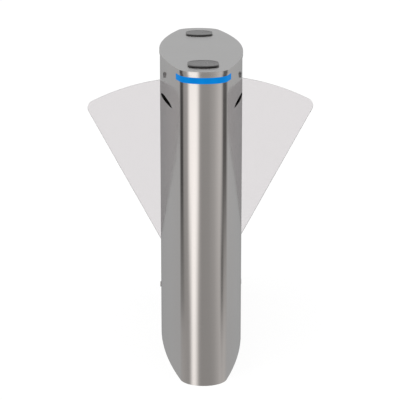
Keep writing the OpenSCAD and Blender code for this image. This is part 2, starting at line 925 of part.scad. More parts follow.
// each guide runs up both sides of a slot and over its top
module slot_guides() {
    depth = 8;
    rim = 6;
    side = slot_width / 2 + rim;
    face = wall_x(flap_offset + side) - sheet - slip_gap;
    color("dimgray") both_ends() difference() {
        block([-face, -flap_offset - side, slot_bottom - rim],
            [-face + depth, -flap_offset + side, slot_top + rim]);
        flap_slot();
        translate([0, 0, slot_bottom - slot_top]) flap_slot();
    }
}

// Cam locks. In the local frame +X points out of the wall.

module lock_housing() {
    difference() {
        union() {
            rod_x(lock_head / 2, 0, lock_proud);
            rod_x(lock_body_r, -lock_depth, 1);
        }
        rod_x(barrel_r + running_gap, -far, far);
    }
    difference() {
        slab_x(-sheet - nut_thickness - 0.2, -sheet - 0.2) circle(nut_r, $fn = 6);
        rod_x(lock_body_r + running_gap, -far, far);
    }
}

module lock_barrel() {
    difference() {
        rod_x(barrel_r, -cam_back, lock_proud - 0.4);
        block([lock_proud - 3, -0.9, -3.5], [lock_proud + 1, 0.9, 3.5]);
    }
    slab_x(-cam_back - cam_thickness, -cam_back) union() {
        circle(9);
        translate([-cam_half, 0]) square([2 * cam_half, cam_reach]);
    }
    rod_x(4, -cam_back - cam_thickness - 3, -cam_back);
}

module lid_lock_housings() {
    color("gainsboro") both_ends() for (y = [-lid_lock_y, lid_lock_y])
        on_right_wall(y) translate([0, 0, lid_lock_z]) lock_housing();
}

module right_front_lid_lock() {
    color("gray") on_right_wall(-lid_lock_y) translate([0, 0, lid_lock_z]) lock_barrel();
}

module right_rear_lid_lock() {
    color("gray") on_right_wall(lid_lock_y) translate([0, 0, lid_lock_z]) lock_barrel();
}

module left_front_lid_lock() {
    color("gray") on_left_wall(-lid_lock_y) translate([0, 0, lid_lock_z]) lock_barrel();
}

module left_rear_lid_lock() {
    color("gray") on_left_wall(lid_lock_y) translate([0, 0, lid_lock_z]) lock_barrel();
}

// Lid with its readers and catches

module reader_outline(margin) {
    rounded(reader_width - 2 * margin, reader_length - 2 * margin, pad_corner - margin);
}

// half of the section of a pad whose rim is at x = reach, with its foot set in
module reader_section(reach) {
    rim_top = reader_height - pad_edge;
    square([reach - pad_edge, reader_height]);
    polygon([[0, 0], [reach - reader_undercut, 0], [reach, rim_top - 0.5], [reach, rim_top],
        [0, rim_top]]);
    intersection() {
        translate([reach - pad_edge, rim_top]) circle(pad_edge);
        translate([0, rim_top]) square([reach, pad_edge]);
    }
}

// the pad above the lid: round corners, and four straight sides between them
module reader_cover() {
    x = reader_width / 2 - pad_corner;
    y = reader_length / 2 - pad_corner;
    for (i = [-1, 1], j = [-1, 1]) translate([i * x, j * y, 0])
        rotate_extrude() reader_section(pad_corner);
    for (turn = [0, 180]) rotate(turn) {
        translate([0, y, 0]) rotate([90, 0, 0])
            linear_extrude(2 * y) reader_section(reader_width / 2);
        translate([-x, 0, 0]) rotate([90, 0, 90])
            linear_extrude(2 * x) reader_section(reader_length / 2);
    }
}

module reader_cut(y) {
    translate([0, y, 0]) lift(lid_under - 1, cabinet_height + 1) reader_outline(8);
}

module lid() {
    outset = lid_gap + lid_sheet;
    color("silver") difference() {
        union() {
            lift(lid_under, cabinet_height) plan(-outset);
            lift(cabinet_height - lid_edge, cabinet_height) plan_ring(-outset, -lid_gap);
        }
        reader_cut(front_reader_y);
        reader_cut(rear_reader_y);
    }
}

module reader_pad() {
    top = cabinet_height + reader_height;
    difference() {
        union() {
            translate([0, 0, cabinet_height]) reader_cover();
            lift(cabinet_height - 10, cabinet_height) reader_outline(8 + slip_gap);
        }
        lift(cabinet_height - 11, top - 3) reader_outline(11);
    }
    for (x = [-1, 1], y = [-1, 1])
        translate([x * (reader_width / 2 - 28), y * (reader_length / 2 - 32), cabinet_height - 6])
            cylinder(r = 4, h = reader_height + 4);
}

module front_reader_pad() { color("dimgray") translate([0, front_reader_y, 0]) reader_pad(); }
module rear_reader_pad() { color("dimgray") translate([0, rear_reader_y, 0]) reader_pad(); }

module reader_boards() {
    color("seagreen") for (y = [front_reader_y, rear_reader_y])
        translate([0, y, cabinet_height - 8]) {
            lift(0, 1.6) reader_outline(15);
            translate([0, 0, -3]) cube([20, 30, 8], center = true);
        }
}

module lid_catches() {
    bar_top = lid_lock_z - cam_half - seat_gap;
    color("gray") both_ends() for (y = [-lid_lock_y, lid_lock_y])
        on_right_wall(y) {
            block([-catch_depth, catch_near, bar_top - 9],
                [-catch_depth + 3, catch_near + catch_width, lid_under]);
            block([-catch_depth, catch_near, bar_top - 9],
                [-rim_width - 3, catch_near + catch_width, bar_top]);
            block([-catch_depth - 12, catch_near, lid_under - 3],
                [-catch_depth + 1, catch_near + catch_width, lid_under]);
        }
}

// Service hatch of the left side

module hatch() {
    inner = -half_width + hatch_fold;
    hook_spots = [hatch_front + 45, hatch_back - 45];
    difference() {
        union() {
            difference() {
                intersection() {
                    lift(hatch_bottom, hatch_top) plan(0);
                    hatch_region(hatch_gap, -half_width - 9, inner);
                }
                intersection() {
                    lift(hatch_bottom, hatch_top) plan(sheet);
                    hatch_region(hatch_gap + sheet, -half_width - 9, inner + 9);
                }
            }
            intersection() {
                lift(hatch_bottom - 9, hatch_bottom + 9) plan(sheet + 0.5);
                for (y = hook_spots)
                    block([-half_width, y - 12, hatch_bottom - 8],
                        [-half_width + 7, y + 12, hatch_bottom + hatch_gap + sheet]);
            }
        }
        on_left_wall(-hatch_lock_y) translate([0, 0, hatch_lock_z])
            rod_x(lock_body_r + slip_gap, -9, 9);
    }
}

module left_hatch() { color("silver") hatch(); }
module right_hatch() { color("silver") right_half() hatch(); }

module hatch_lock_place() {
    on_left_wall(-hatch_lock_y) translate([0, 0, hatch_lock_z]) children();
}

module left_hatch_lock_housing() { color("gainsboro") hatch_lock_place() lock_housing(); }
module right_hatch_lock_housing() {
    color("gainsboro") right_half() hatch_lock_place() lock_housing();
}

module left_hatch_lock() {
    color("gray") hatch_lock_place() rotate([-90, 0, 0]) lock_barrel();
}

module right_hatch_lock() {
    color("gray") right_half() hatch_lock_place() rotate([-90, 0, 0]) lock_barrel();
}

cabinet_shell();
base_plate();
floor_bolts();
cable_grommets();
front_core_plate();
rear_core_plate();
core_tie_bars();
stop_sleeves();
left_shaft_bearings();
right_shaft_bearings();
left_drive_bracket();
right_drive_bracket();
left_gearbox();
right_gearbox();
left_motor();
right_motor();
position_sensors();
front_rack();
rear_rack();
control_board();
power_supply();
terminal_block();
backup_battery();
front_light_band();
rear_light_band();
light_boards();
sensor_windows();
sensor_boards();
slot_guides();
lid_lock_housings();
lid();
front_reader_pad();
rear_reader_pad();
reader_boards();
lid_catches();
left_flap_panel();
left_flap_arm();
left_clamp_plate();
left_flap_bolts();
left_flap_shaft();
left_sector_gear();
right_flap_panel();
right_flap_arm();
right_clamp_plate();
right_flap_bolts();
right_flap_shaft();
right_sector_gear();
left_pinion();
right_pinion();
left_hatch();
left_hatch_lock_housing();
left_hatch_lock();
right_hatch();
right_hatch_lock_housing();
right_hatch_lock();
right_front_lid_lock();
right_rear_lid_lock();
left_front_lid_lock();
left_rear_lid_lock();
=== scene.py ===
import json
import math

import bpy
from mathutils import Matrix, Vector

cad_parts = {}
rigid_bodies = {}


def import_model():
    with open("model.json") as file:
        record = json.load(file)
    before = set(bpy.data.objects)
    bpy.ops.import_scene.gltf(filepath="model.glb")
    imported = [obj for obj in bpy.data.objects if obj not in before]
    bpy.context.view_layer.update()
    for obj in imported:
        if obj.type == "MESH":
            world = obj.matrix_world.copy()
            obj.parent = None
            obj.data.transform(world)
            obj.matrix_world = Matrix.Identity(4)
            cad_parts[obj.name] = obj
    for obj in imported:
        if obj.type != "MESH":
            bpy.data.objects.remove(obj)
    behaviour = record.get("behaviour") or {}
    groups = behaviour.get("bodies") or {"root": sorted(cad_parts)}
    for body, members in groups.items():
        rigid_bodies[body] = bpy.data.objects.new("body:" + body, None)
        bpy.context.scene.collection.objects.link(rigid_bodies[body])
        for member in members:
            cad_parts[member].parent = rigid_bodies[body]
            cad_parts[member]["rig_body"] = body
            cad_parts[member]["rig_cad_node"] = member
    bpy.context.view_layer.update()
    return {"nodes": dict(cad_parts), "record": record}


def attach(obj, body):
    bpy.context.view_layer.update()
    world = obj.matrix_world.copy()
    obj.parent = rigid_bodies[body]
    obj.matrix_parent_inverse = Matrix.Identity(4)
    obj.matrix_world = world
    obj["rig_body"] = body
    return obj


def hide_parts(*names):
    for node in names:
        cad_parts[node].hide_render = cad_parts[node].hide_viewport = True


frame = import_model()
nodes = frame["nodes"]
print("frame loaded with", len(nodes), "nodes")

cameraView = {
    "place": (-0.0814, -4.987, 1.619),  # eye height, five metres in front
    "down": 13.018,  # degrees below the horizon
    "turn": 0.9,  # degrees to the right of +Y
    "lens": 131.9,
    "sensor": 36.0,
}


def makeCamera():
    turned = (math.radians(90 - cameraView["down"]), 0, -math.radians(cameraView["turn"]))
    bpy.ops.object.camera_add(location=cameraView["place"], rotation=turned)
    camera = bpy.context.object
    camera.name = "frontCamera"
    camera.data.sensor_width = cameraView["sensor"]
    camera.data.lens = cameraView["lens"]
    bpy.context.scene.camera = camera


def addNode(tree, kind, **settings):
    node = tree.nodes.new(kind)
    for name, value in settings.items():
        setattr(node, name, value)
    return node


# a socket takes a link from another node, or a plain value
def feed(tree, socket, value):
    if isinstance(value, bpy.types.NodeSocket):
        tree.links.new(value, socket)
    else:
        socket.default_value = value


def plug(tree, node, **values):
    for name, value in values.items():
        feed(tree, node.inputs[name.replace("_", " ")], value)
    return node


def mathNode(tree, operation, first, second=0.0, clamp=False):
    node = addNode(tree, "ShaderNodeMath", operation=operation, use_clamp=clamp)
    feed(tree, node.inputs[0], first)
    feed(tree, node.inputs[1], second)
    return node.outputs[0]


# 0 at low and 1 at high
def rangeNode(tree, value, low, high, smooth=True):
    node = addNode(tree, "ShaderNodeMapRange", interpolation_type="SMOOTHSTEP" if smooth else "LINEAR")
    return plug(tree, node, Value=value, From_Min=low, From_Max=high).outputs["Result"]


# a Mix node's colours are its inputs 6 and 7 and its output 2
def mixColour(tree, factor, first, second):
    node = addNode(tree, "ShaderNodeMix", data_type="RGBA")
    feed(tree, node.inputs[0], factor)
    for index, colour in ((6, first), (7, second)):
        plain = not isinstance(colour, bpy.types.NodeSocket)
        feed(tree, node.inputs[index], (*colour, 1.0) if plain else colour)
    return node.outputs[2]


def mixShader(tree, factor, first, second):
    node = addNode(tree, "ShaderNodeMixShader")
    for index, value in enumerate((factor, first, second)):
        feed(tree, node.inputs[index], value)
    return node.outputs[0]


def splitVector(tree, vector):
    node = addNode(tree, "ShaderNodeSeparateXYZ")
    feed(tree, node.inputs[0], vector)
    return node.outputs


def noise(tree, place, size, detail, roughness=0.5):
    node = addNode(tree, "ShaderNodeTexNoise")
    return plug(tree, node, Vector=place, Scale=size, Detail=detail, Roughness=roughness).outputs[0]


def rampNode(tree, value, stops):
    ramp = addNode(tree, "ShaderNodeValToRGB")
    feed(tree, ramp.inputs[0], value)
    elements = ramp.color_ramp.elements
    while len(elements) < len(stops):
        elements.new(0.5)  # each gets its own place below
    for element, (place, colour) in zip(elements, stops):
        element.position = place
        element.color = (*colour, 1.0)
    return ramp.outputs[0]


# one for whatever shows in a gloss, also through a flap
def mirroredMask(tree, path):
    beyond = mathNode(tree, "GREATER_THAN", path.outputs["Glossy Depth"], 0.5)
    return mathNode(tree, "ADD", path.outputs["Is Glossy Ray"], beyond, clamp=True)


# white for what the camera sees itself or through a flap
def whiteMask(tree, path):
    direct = mathNode(tree, "SUBTRACT", 1.0, path.outputs["Glossy Depth"], clamp=True)
    through = mathNode(tree, "MULTIPLY", path.outputs["Is Transmission Ray"], direct)
    return mathNode(tree, "ADD", path.outputs["Is Camera Ray"], through, clamp=True)


# what metal and gloss see: pale walls, a softbox and two dark panels, each as brightness
# by bearing in degrees from the camera's side round to +X, a list for each height
studio = {
    "plain": 0.58,  # how bright the room is for matt surfaces
    "ground": [
        (-180, 0.33), (-170, 0.37), (-160, 0.43), (-152, 0.46), (-118, 0.49), (-78, 0.42), (-70, 0.5),
        (-53, 1.30), (-42, 1.28), (-22, 0.45), (-12, 0.39), (32, 0.39), (50, 0.43), (75, 0.54), (86, 0.63),
        (118, 0.63), (150, 0.46), (163, 0.41), (172, 0.36), (180, 0.33)],
    "lowWalls": [
        (-180, 0.33), (-170, 0.373), (-160, 0.437), (-150, 0.468), (-135, 0.27), (-112, 0.27), (-100, 0.38),
        (-78, 0.42), (-66, 0.85), (-55, 1.50), (-42, 1.50), (-24, 0.56), (-14, 0.41), (-8, 0.38), (22, 0.40),
        (50, 0.47), (68, 0.58), (80, 0.62), (86, 0.50), (93, 0.08), (100, 0.08), (110, 0.40), (121, 0.50),
        (135, 0.48), (150, 0.474), (163, 0.423), (172, 0.36), (180, 0.33)],
    "walls": [
        (-180, 0.33), (-170, 0.382), (-160, 0.455), (-147, 0.50), (-137, 0.07), (-118, 0.07), (-108, 0.40),
        (-85, 0.49), (-68, 1.52), (-36, 1.54), (-29, 1.30), (-17, 0.47), (-8, 0.40), (22, 0.41), (50, 0.54),
        (75, 0.73), (86, 0.77), (95, 0.60), (105, 0.12), (130, 0.12), (143, 0.455), (153, 0.507), (163, 0.43),
        (172, 0.36), (180, 0.33)],
    "above": [
        (-180, 0.62), (-110, 0.62), (-71, 0.85), (-30, 0.85), (0, 0.55), (74, 0.62), (180, 0.62)],
    # heights of the view's direction, -1 straight down, where each gives way to the next
    "groundBelow": (-0.309, -0.293),
    "wallsFrom": (-0.295, -0.19),
    "aboveFrom": (-0.145, -0.06),
    "warm": (1.025, 0.985, 0.955),  # tint of the walls near the camera
    "warmUntil": (125, 160),  # degrees over which it fades, behind the part
}


def bearingRamp(tree, bearing, stops):
    start, end = studio["warmUntil"]
    colours = []
    for angle, level in stops:
        share = min(1.0, max(0.0, (end - abs(angle)) / (end - start)))
        colour = [level * (1 + share * (part - 1)) for part in studio["warm"]]
        colours.append(((angle + 180) / 360, colour))
    return rampNode(tree, bearing, colours)


def makeWorld():
    world = bpy.data.worlds.new("studio")
    bpy.context.scene.world = world
    world.use_nodes = True
    tree = world.node_tree
    tree.nodes.clear()
    parts = splitVector(tree, addNode(tree, "ShaderNodeTexCoord").outputs["Generated"])
    ahead = mathNode(tree, "MULTIPLY", parts["Y"], -1.0)
    turn = mathNode(tree, "ARCTAN2", parts["X"], ahead)
    bearing = mathNode(tree, "ADD", mathNode(tree, "DIVIDE", turn, 2 * math.pi), 0.5)
    ground = bearingRamp(tree, bearing, studio["ground"])
    lowWalls = bearingRamp(tree, bearing, studio["lowWalls"])
    walls = bearingRamp(tree, bearing, studio["walls"])
    above = bearingRamp(tree, bearing, studio["above"])
    walls = mixColour(tree, rangeNode(tree, parts["Z"], *studio["wallsFrom"]), lowWalls, walls)
    lower = mixColour(tree, rangeNode(tree, parts["Z"], *studio["groundBelow"]), ground, walls)
    whole = mixColour(tree, rangeNode(tree, parts["Z"], *studio["aboveFrom"]), lower, above)
    path = addNode(tree, "ShaderNodeLightPath")
    lit = mixColour(tree, mirroredMask(tree, path), (studio["plain"],) * 3, whole)
    colour = mixColour(tree, whiteMask(tree, path), lit, (1.0, 1.0, 1.0))
    background = plug(tree, addNode(tree, "ShaderNodeBackground"), Color=colour)
    plug(tree, addNode(tree, "ShaderNodeOutputWorld"), Surface=background.outputs[0])


# suns, so only the direction from each place counts; the spread is in degrees
lamps = {
    "leftSoftbox": {"from": (-2.2, -2.6, 3.4), "spread": 60, "power": 0.85},
    "rightSoftbox": {"from": (2.6, -1.4, 3.0), "spread": 70, "power": 0.45},
    "overhead": {"from": (0, 0.6, 3.4), "spread": 80, "power": 0.35},
}


def makeLamps():
    for name, lamp in lamps.items():
        aim = (-Vector(lamp["from"])).to_track_quat("-Z", "Y").to_euler()
        bpy.ops.object.light_add(type="SUN", location=lamp["from"], rotation=aim)
        light = bpy.context.object
        light.name = name
        light.data.angle = math.radians(lamp["spread"])
        light.data.energy = lamp["power"]
        light.visible_glossy = False


# the camera sees a glowing paper with a share of the matt one, which takes the shadow
floorPaper = {"size": 60.0, "colour": (0.86, 0.86, 0.86), "glow": 0.885, "share": 0.82}


def makeFloor():
    bpy.ops.mesh.primitive_plane_add(size=floorPaper["size"], location=(0, 0, 0))
    floor = bpy.context.object
    floor.name = "floorPaper"
    material = bpy.data.materials.new("floorPaper")
    material.use_nodes = True
    tree = material.node_tree
    tree.nodes.clear()
    matt = plug(tree, addNode(tree, "ShaderNodeBsdfDiffuse"), Color=(*floorPaper["colour"], 1.0))
    glow = plug(tree, addNode(tree, "ShaderNodeEmission"), Strength=floorPaper["glow"] / floorPaper["share"])
    clear = addNode(tree, "ShaderNodeBsdfTransparent")
    path = addNode(tree, "ShaderNodeLightPath")
    share = mathNode(tree, "MULTIPLY", whiteMask(tree, path), floorPaper["share"])
    mixed = mixShader(tree, share, matt.outputs[0], glow.outputs[0])
    # gloss sees the studio's own ground
    paper = mixShader(tree, mirroredMask(tree, path), mixed, clear.outputs[0])
    plug(tree, addNode(tree, "ShaderNodeOutputMaterial"), Surface=paper)
    floor.data.materials.append(material)


makeCamera()
makeWorld()
makeLamps()
makeFloor()
bpy.context.scene.view_settings.view_transform = "Standard"
print("camera, studio and floor made")

# the patterns that several finishes share: spans are the part of a noise that is used
patterns = {
    "lineDetail": 5.0,
    "lineRough": 0.65,
    "lineSpan": (0.3, 0.7),
    "lineCloudDetail": 3.0,
    "grainDetail": 2.0,
    "grainCloudDetail": 4.0,
    "cloudSpan": (0.35, 0.65),
}
settled = {
    "speckSize": 45.0,
    "speckDetail": 6.0,
    "speckSpan": (0.35, 0.7),
    "upward": (0.6, 0.95),  # how far a face looks up before dust lies on it
    "colour": (0.42, 0.40, 0.37),
    "rough": 0.3,
}


def makeGroup(name, inputs, outputs):
    group = bpy.data.node_groups.new(name, "ShaderNodeTree")
    for label, value in inputs:
        kind = "NodeSocketVector" if value is None else "NodeSocketFloat"
        socket = group.interface.new_socket(name=label, in_out="INPUT", socket_type=kind)
        if value is not None:
            socket.default_value = value
    for label in outputs:
        group.interface.new_socket(name=label, in_out="OUTPUT", socket_type="NodeSocketFloat")
    start = group.nodes.new("NodeGroupInput")
    end = group.nodes.new("NodeGroupOutput")
    return group, start.outputs, end


# fine lines along one direction, and a slow cloud over them
def brushedGroup():
    inputs = [("Stretched", None), ("Place", None), ("Cloud Size", 5.0)]
    group, given, end = makeGroup("brushedLines", inputs, ["Lines", "Cloud"])
    lines = noise(group, given["Stretched"], 1.0, patterns["lineDetail"], patterns["lineRough"])
    cloud = noise(group, given["Place"], given["Cloud Size"], patterns["lineCloudDetail"])
    plug(group, end, Lines=rangeNode(group, lines, *patterns["lineSpan"], smooth=False),
         Cloud=rangeNode(group, cloud, *patterns["cloudSpan"]))
    return group


# fine pits and bumps of a coating or casting, and a slow cloud
def grainGroup():
    inputs = [("Place", None), ("Grain Size", 600.0), ("Cloud Size", 12.0)]
    group, given, end = makeGroup("fineGrain", inputs, ["Grain", "Cloud"])
    grain = noise(group, given["Place"], given["Grain Size"], patterns["grainDetail"])
    cloud = noise(group, given["Place"], given["Cloud Size"], patterns["grainCloudDetail"])
    plug(group, end, Grain=grain, Cloud=rangeNode(group, cloud, *patterns["cloudSpan"]))
    return group


# dust that settles on faces that look up
def dustGroup():
    inputs = [("Place", None), ("Normal", None), ("Amount", 0.3)]
    group, given, end = makeGroup("settledDust", inputs, ["Dust"])
    upward = rangeNode(group, splitVector(group, given["Normal"])["Z"], *settled["upward"])
    specks = noise(group, given["Place"], settled["speckSize"], settled["speckDetail"])
    patchy = rangeNode(group, specks, *settled["speckSpan"])
    dust = mathNode(group, "MULTIPLY", mathNode(group, "MULTIPLY", upward, patchy), given["Amount"])
    plug(group, end, Dust=dust)
    return group


brushedLines = brushedGroup()
fineGrain = grainGroup()
settledDust = dustGroup()


def useGroup(tree, group, **values):
    node = addNode(tree, "ShaderNodeGroup", node_tree=group)
    return plug(tree, node, **values).outputs


def newMaterial(name, colour, metallic, roughness, **constants):
    material = bpy.data.materials.new(name)
    material.use_nodes = True
    tree = material.node_tree
    shader = tree.nodes["Principled BSDF"]
    plug(tree, shader, Base_Color=(*colour, 1.0), Metallic=metallic, Roughness=roughness, **constants)
    place = addNode(tree, "ShaderNodeTexCoord")
    return material, tree, shader, place.outputs


def stretch(tree, vector, scale):
    node = addNode(tree, "ShaderNodeMapping")
    return plug(tree, node, Vector=vector, Scale=scale).outputs[0]


def bumpFrom(tree, shader, height, strength, distance):
    bump = plug(tree, addNode(tree, "ShaderNodeBump"), Height=height, Strength=strength, Distance=distance)
    plug(tree, shader, Normal=bump.outputs[0])


# base plus each value times its amount
def blendValue(tree, base, *shares):
    total = base
    for value, amount in shares:
        total = mathNode(tree, "ADD", mathNode(tree, "MULTIPLY", value, amount), total)
    return total


# what feeds a socket now
def feeder(shader, label):
    return shader.inputs[label].links[0].from_socket


def brushedSteel(name, finish):
    material, tree, shader, place = newMaterial(name, finish["colour"], 1.0, finish["roughness"])
    stretched = stretch(tree, place["Object"], finish["stretch"])
    brushed = useGroup(tree, brushedLines, Stretched=stretched, Place=place["Object"],
                       Cloud_Size=finish["cloudSize"])
    dark = [part * (1 - finish["contrast"]) for part in finish["colour"]]
    light = [min(1.0, part * (1 + finish["contrast"])) for part in finish["colour"]]
    rough = blendValue(tree, finish["roughness"] - finish["linesRough"] / 2,
                       (brushed["Lines"], finish["linesRough"]), (brushed["Cloud"], finish["cloudRough"]))
    plug(tree, shader, Base_Color=mixColour(tree, brushed["Lines"], dark, light), Roughness=rough)
    bumpFrom(tree, shader, brushed["Lines"], finish["bump"], finish["depth"])
    return material


# cabinet sheet: brushed outside, dull and unpolished inside, where faces look at the middle
def cabinetSteel(name, outer, inner):
    material = brushedSteel(name, outer)
    tree = material.node_tree
    shader = tree.nodes["Principled BSDF"]
    place = addNode(tree, "ShaderNodeTexCoord").outputs
    facing = addNode(tree, "ShaderNodeVectorMath", operation="DOT_PRODUCT")
    feed(tree, facing.inputs[0], stretch(tree, place["Object"], (1.0, 1.0, 0.0)))  # without the height
    feed(tree, facing.inputs[1], place["Normal"])
    inside = mathNode(tree, "LESS_THAN", facing.outputs["Value"], inner["below"])
    outside = mathNode(tree, "SUBTRACT", 1.0, inside)
    cloud = noise(tree, place["Object"], inner["cloudSize"], inner["cloudDetail"])
    dull = mixColour(tree, cloud, inner["colour"], inner["second"])
    colour = mixColour(tree, inside, feeder(shader, "Base Color"), dull)
    rough = mathNode(tree, "MULTIPLY", outside, feeder(shader, "Roughness"))
    plug(tree, shader, Base_Color=colour,
         Roughness=blendValue(tree, rough, (inside, inner["roughness"])),
         Metallic=blendValue(tree, outside, (inside, inner["metallic"])))
    return material


# the lid: brushed across on top, and the cabinet's own finish on its rim
def lidSteel(name, top, rim):
    material = brushedSteel(name, top)
    tree = material.node_tree
    shader = tree.nodes["Principled BSDF"]
    parts = splitVector(tree, addNode(tree, "ShaderNodeTexCoord").outputs["Normal"])
    upward = rangeNode(tree, mathNode(tree, "ABSOLUTE", parts["Z"]), *top["flatFrom"])
    colour = mixColour(tree, upward, rim["colour"], feeder(shader, "Base Color"))
    topRough = mathNode(tree, "MULTIPLY", upward, feeder(shader, "Roughness"))
    rimRough = mathNode(tree, "MULTIPLY", mathNode(tree, "SUBTRACT", 1.0, upward), rim["roughness"])
    plug(tree, shader, Base_Color=colour, Roughness=mathNode(tree, "ADD", topRough, rimRough))
    return material


def coatedMetal(name, finish):
    material, tree, shader, place = newMaterial(
        name, finish["colour"], finish["metallic"], finish["roughness"], **finish.get("constants", {}))
    grain = useGroup(tree, fineGrain, Place=place["Object"], Grain_Size=finish["grainSize"],
                     Cloud_Size=finish["cloudSize"])
    dust = useGroup(tree, settledDust, Place=place["Object"], Normal=place["Normal"], Amount=finish["dust"])
    tinted = mixColour(tree, grain["Cloud"], finish["colour"], finish["second"])
    rough = blendValue(tree, finish["roughness"], (grain["Cloud"], finish["cloudRough"]),
                       (dust["Dust"], settled["rough"]))
    plug(tree, shader, Base_Color=mixColour(tree, dust["Dust"], tinted, settled["colour"]), Roughness=rough)
    bumpFrom(tree, shader, grain["Grain"], finish["bump"], finish["depth"])
    return material


# clear sheet that turns paler and a little matt towards its cut edges
def clearSheet(name, finish):
    material, tree, shader, place = newMaterial(
        name, finish["face"], 0.0, 0.0, IOR=finish["ior"], Transmission_Weight=1.0)
    across = mathNode(tree, "ABSOLUTE", splitVector(tree, place["Normal"])["Y"])
    flat = rangeNode(tree, across, *finish["flatFrom"])
    grain = useGroup(tree, fineGrain, Place=place["Object"], Cloud_Size=finish["cloudSize"])
    cut = mathNode(tree, "SUBTRACT", 1.0, flat)
    rough = blendValue(tree, 0.0, (grain["Cloud"], finish["cloudRough"]), (cut, finish["cutRough"]))
    plug(tree, shader, Base_Color=mixColour(tree, flat, finish["edge"], finish["face"]), Roughness=rough)
    return material


# lit diffuser with a faint ripple from the lamps behind it
def litDiffuser(name, finish):
    material, tree, shader, place = newMaterial(
        name, finish["unlit"], 0.0, finish["roughness"],
        Emission_Strength=finish["strength"], IOR=finish["ior"])
    parts = splitVector(tree, place["Object"])
    along = mathNode(tree, "MULTIPLY", mathNode(tree, "ARCTAN2", parts["X"], parts["Y"]), finish["ripples"])
    ripple = rangeNode(tree, mathNode(tree, "SINE", along), -1.0, 1.0)
    cloud = noise(tree, place["Object"], finish["cloudSize"], finish["cloudDetail"])
    level = blendValue(tree, 0.0, (ripple, finish["rippleShare"]), (cloud, finish["cloudShare"]))
    plug(tree, shader, Emission_Color=mixColour(tree, level, finish["low"], finish["high"]))
    return material


# circuit board with copper tracks under its lacquer, and bright solder pads
def circuitBoard(name, finish):
    material, tree, shader, place = newMaterial(name, finish["colour"], 0.0, finish["roughness"])
    flat = stretch(tree, place["Object"], finish["flatten"])
    bricks = addNode(tree, "ShaderNodeTexBrick", offset=0.5)
    # dark bricks in white mortar: the mortar is the tracks
    tracks = plug(tree, bricks, Vector=flat, Scale=finish["trackScale"], Mortar_Size=finish["trackWidth"],
                  Color1=(0, 0, 0, 1), Color2=(0.2, 0.2, 0.2, 1), Mortar=(1, 1, 1, 1)).outputs["Color"]
    cells = addNode(tree, "ShaderNodeTexVoronoi", distance="CHEBYCHEV")
    plug(tree, cells, Vector=place["Object"], Scale=finish["padScale"])
    copper = mixColour(tree, tracks, finish["colour"], finish["track"])
    beyondPad = rangeNode(tree, cells.outputs["Distance"], *finish["padSpan"])
    plug(tree, shader, Base_Color=mixColour(tree, beyondPad, finish["pad"], copper))
    bumpFrom(tree, shader, tracks, finish["bump"], finish["depth"])
    return material


# sizes in these are how often a pattern repeats in a metre, and depths are in metres
steelFinish = {
    "colour": (0.592, 0.579, 0.571), "roughness": 0.125, "stretch": (9.0, 9.0, 1500.0), "cloudSize": 5.0,
    "contrast": 0.02, "linesRough": 0.02, "cloudRough": 0.02, "bump": 0.015, "depth": 0.00005}
lidFinish = {
    **steelFinish, "colour": (0.575, 0.575, 0.575), "roughness": 0.34, "stretch": (1500.0, 9.0, 9.0),
    "flatFrom": (0.3, 0.8)}
innerFinish = {
    "colour": (0.60, 0.60, 0.59), "second": (0.50, 0.50, 0.49), "roughness": 0.5, "metallic": 0.15,
    "cloudSize": 14.0, "cloudDetail": 5.0, "below": -0.06}
turnedFinish = {
    **steelFinish, "colour": (0.56, 0.56, 0.57), "roughness": 0.22, "stretch": (700.0, 700.0, 40.0),
    "cloudSize": 40.0, "contrast": 0.06}
coatFinish = {
    "colour": (0.15, 0.165, 0.185), "second": (0.17, 0.185, 0.205), "metallic": 0.0, "roughness": 0.42,
    "cloudRough": 0.1, "grainSize": 900.0, "cloudSize": 14.0, "dust": 0.5, "bump": 0.25, "depth": 0.0002}
zincFinish = {
    "colour": (0.60, 0.61, 0.62), "second": (0.50, 0.51, 0.50), "metallic": 0.45, "roughness": 0.38,
    "cloudRough": 0.14, "grainSize": 180.0, "cloudSize": 60.0, "dust": 0.25, "bump": 0.05, "depth": 0.0002}
castFinish = {
    **zincFinish, "colour": (0.58, 0.58, 0.59), "second": (0.66, 0.66, 0.67), "metallic": 0.5,
    "roughness": 0.42, "grainSize": 1100.0, "cloudSize": 30.0, "bump": 0.3}
collarFinish = {**zincFinish, "colour": (0.27, 0.27, 0.275), "second": (0.32, 0.32, 0.325)}
brassFinish = {
    **zincFinish, "colour": (0.66, 0.47, 0.20), "second": (0.58, 0.40, 0.16), "metallic": 0.7,
    "roughness": 0.28, "cloudSize": 80.0}
sensorFinish = {**brassFinish, "colour": (0.62, 0.52, 0.34), "second": (0.6, 0.5, 0.33)}
enamelFinish = {
    **coatFinish, "colour": (0.012, 0.012, 0.014), "second": (0.02, 0.02, 0.022), "roughness": 0.3}
lockFinish = {**enamelFinish, "colour": (0.024, 0.024, 0.026), "second": (0.034, 0.034, 0.036)}
relayFinish = {**enamelFinish, "colour": (0.012, 0.045, 0.16), "second": (0.014, 0.05, 0.18)}
chipFinish = {
    **enamelFinish, "colour": (0.02, 0.02, 0.022), "second": (0.028, 0.028, 0.03), "roughness": 0.45}
sleeveFinish = {**enamelFinish, "colour": (0.02, 0.022, 0.05), "second": (0.024, 0.026, 0.055)}
rubberFinish = {
    **coatFinish, "colour": (0.018, 0.018, 0.018), "second": (0.03, 0.03, 0.03), "roughness": 0.72,
    "bump": 0.4}
nylonFinish = {
    **coatFinish, "colour": (0.085, 0.085, 0.088), "second": (0.10, 0.10, 0.104), "roughness": 0.5}
padFinish = {
    **coatFinish, "colour": (0.041, 0.041, 0.042), "second": (0.047, 0.047, 0.048), "roughness": 0.26,
    "cloudRough": 0.05, "grainSize": 1400.0, "dust": 0.04, "bump": 0.12, "depth": 0.00008}
